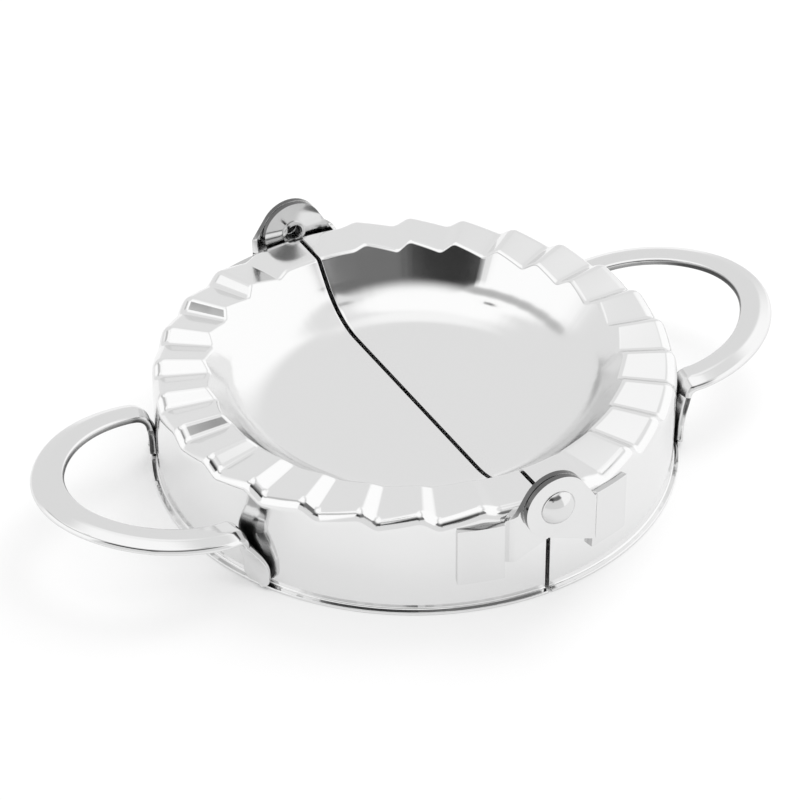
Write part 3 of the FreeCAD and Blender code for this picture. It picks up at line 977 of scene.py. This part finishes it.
def add_room():
    """A white tent of cloth with greyer walls and, on the camera's side, a dark opening."""
    world = bpy.data.worlds.new("white_tent")
    bpy.context.scene.world = world
    tree = empty_tree(world)
    ray = add_node(tree, "ShaderNodeTexCoord").outputs["Generated"]
    deepest = patch(tree, ray, *DEEPEST)
    dark = add_node(tree, "ShaderNodeMix", {"data_type": "FLOAT"}, i0=deepest, i2=OPENING_GREY,
                    i3=DEEPEST_GREY)
    shades = [(window(tree, ray, *place), grey) for *place, grey in WALLS]
    shades += [(patch(tree, ray, *place), grey) for *place, grey in PATCHES]
    shades += [(window(tree, ray, *OPENING), dark), (patch(tree, ray, *CAMERA_SEEN), CAMERA_GREY)]
    level = TENT_WHITE
    for covered, grey in shades:
        level = add_node(tree, "ShaderNodeMix", {"data_type": "FLOAT"}, i0=covered, i2=level, i3=grey)
    light = add_node(tree, "ShaderNodeBackground", Color=(1, 1, 1, 1), Strength=level)
    add_node(tree, "ShaderNodeOutputWorld", Surface=light)


TABLE_SIZE = 3000*MM
# Share of the table's white that takes no shadow, how near walls have to be to take it away, and the
# shares of open air at which it is gone and at which it is whole
TABLE_WHITE_SHARE = 0.66
TABLE_NEAR = 70*MM
TABLE_AIR_SHARES = (0.25, 0.42)
AIR_SAMPLES = 8


def add_table(finish):
    """A wide pale table: white in the open, with a soft shadow, and dark in the space under the shells."""
    bpy.ops.object.select_all(action="DESELECT")
    bpy.ops.mesh.primitive_plane_add(size=TABLE_SIZE, location=(0, 0, 0))
    table = bpy.context.object
    table.name = "table"
    material = bpy.data.materials.new("matt_white_table")
    tree = empty_tree(material)
    matt = add_node(tree, "ShaderNodeBsdfDiffuse", Color=(*finish.table_colour, 1))
    path = add_node(tree, "ShaderNodeLightPath")
    seen = path.outputs["Is Camera Ray"]
    for kind in ("Is Glossy Ray", "Is Transmission Ray"):
        seen = add_node(tree, "ShaderNodeMath", {"operation": "MAXIMUM"}, i0=seen, i1=path.outputs[kind])
    # Painted shade: ambient occlusion takes the white away near the press, beside and under it
    corner = add_node(tree, "ShaderNodeAmbientOcclusion", {"samples": AIR_SAMPLES}, Distance=TABLE_NEAR)
    open_air = add_node(tree, "ShaderNodeMapRange", Value=corner.outputs["AO"],
                        From_Min=TABLE_AIR_SHARES[0], From_Max=TABLE_AIR_SHARES[1],
                        To_Min=0, To_Max=TABLE_WHITE_SHARE)
    whiter = add_node(tree, "ShaderNodeMath", {"operation": "MULTIPLY"}, i0=seen, i1=open_air)
    white = add_node(tree, "ShaderNodeEmission", Color=(1, 1, 1, 1), Strength=1)
    both = add_node(tree, "ShaderNodeMixShader", i0=whiter, i1=matt, i2=white)
    add_node(tree, "ShaderNodeOutputMaterial", Surface=both)
    table.data.materials.append(material)


# The lamp stands to the right of the press and behind it; its power is in watts
LAMP_PLACE = (60, 50)
LAMP_DISTANCE = 900*MM
LAMP_SIZE = 500*MM
LAMP_POWER = 4


def add_lamp():
    """A soft square lamp that looks at the press; the steel doesn't mirror it."""
    place = direction(*LAMP_PLACE)*LAMP_DISTANCE
    bpy.ops.object.light_add(type="AREA", location=place, rotation=place.to_track_quat("Z", "Y").to_euler())
    lamp = bpy.context.object
    lamp.name = "key_lamp"
    lamp.data.size = LAMP_SIZE
    lamp.data.energy = LAMP_POWER
    lamp.visible_glossy = False


class PRESS_OT_stage(Operator):
    """Set up the table, the soft light and the camera"""
    bl_idname = "press.stage"
    bl_label = "Table, Light and Camera"

    def execute(self, context):
        finish, = sizes(context, "finish")
        add_camera()
        add_room()
        add_table(finish)
        add_lamp()
        context.scene.view_settings.view_transform = "Standard"
        return {"FINISHED"}


class PRESS_PT_sidebar(Panel):
    """Lists the steps that model the press"""
    bl_label = "Dough Press"
    bl_space_type = "VIEW_3D"
    bl_region_type = "UI"
    bl_category = "Dough Press"

    def draw(self, context):
        for operator in OPERATORS:
            self.layout.operator(operator.bl_idname)
        for group in sizes(context, *GROUPS):
            box = self.layout.box()
            for name in group.__annotations__:
                box.prop(group, name)


OPERATORS = (PRESS_OT_shells, PRESS_OT_handles, PRESS_OT_hinge_plates, PRESS_OT_rivets, PRESS_OT_stage)
GROUPS = {"shell": ShellSizes, "handle": HandleSizes, "hinge": HingeSizes, "finish": FinishSizes}


def register():
    for group in GROUPS.values():
        bpy.utils.register_class(group)
    for name, group in GROUPS.items():
        setattr(bpy.types.Scene, "press_" + name, PointerProperty(type=group))
    for item in (*OPERATORS, PRESS_PT_sidebar):
        bpy.utils.register_class(item)


def unregister():
    for item in reversed((*OPERATORS, PRESS_PT_sidebar)):
        bpy.utils.unregister_class(item)
    for name, group in GROUPS.items():
        delattr(bpy.types.Scene, "press_" + name)
        bpy.utils.unregister_class(group)


def main():
    """Models every piece."""
    register()
    bpy.ops.press.shells()
    bpy.ops.press.handles()
    bpy.ops.press.hinge_plates()
    bpy.ops.press.rivets()
    bpy.ops.press.stage()


if __name__ == "__main__":
    main()
